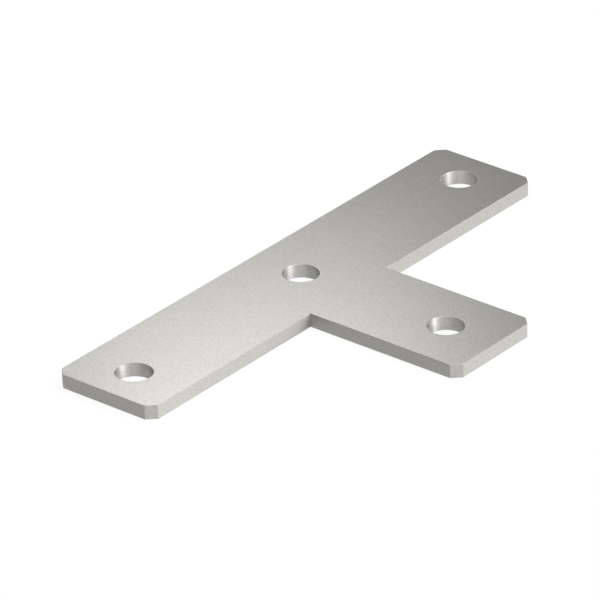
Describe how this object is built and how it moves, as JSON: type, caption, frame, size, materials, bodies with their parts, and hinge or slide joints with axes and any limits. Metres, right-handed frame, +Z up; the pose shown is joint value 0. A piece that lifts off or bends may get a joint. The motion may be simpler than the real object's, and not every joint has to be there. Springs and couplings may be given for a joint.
{
  "type": "t plate bracket",
  "caption": "Flat T-shaped steel plate with cut corners and round bolt holes at the joint and near each end, for joining framing members at a right angle.",
  "frame": {"origin": "on the axis of the joint hole, where the bar's and the stem's centre lines cross, at the plate's underside", "axes": "+X along the bar, -Y along the stem from the joint to its end, +Z up through the thickness"},
  "size_m": [0.2, 0.1, 0.005],
  "materials": {
    "plate_steel": "fine-grained satin steel, bare, with no coating or marks"
  },
  "bodies": {
    "root": {"t_plate": "plate_steel"}
  },
  "joints": []
}
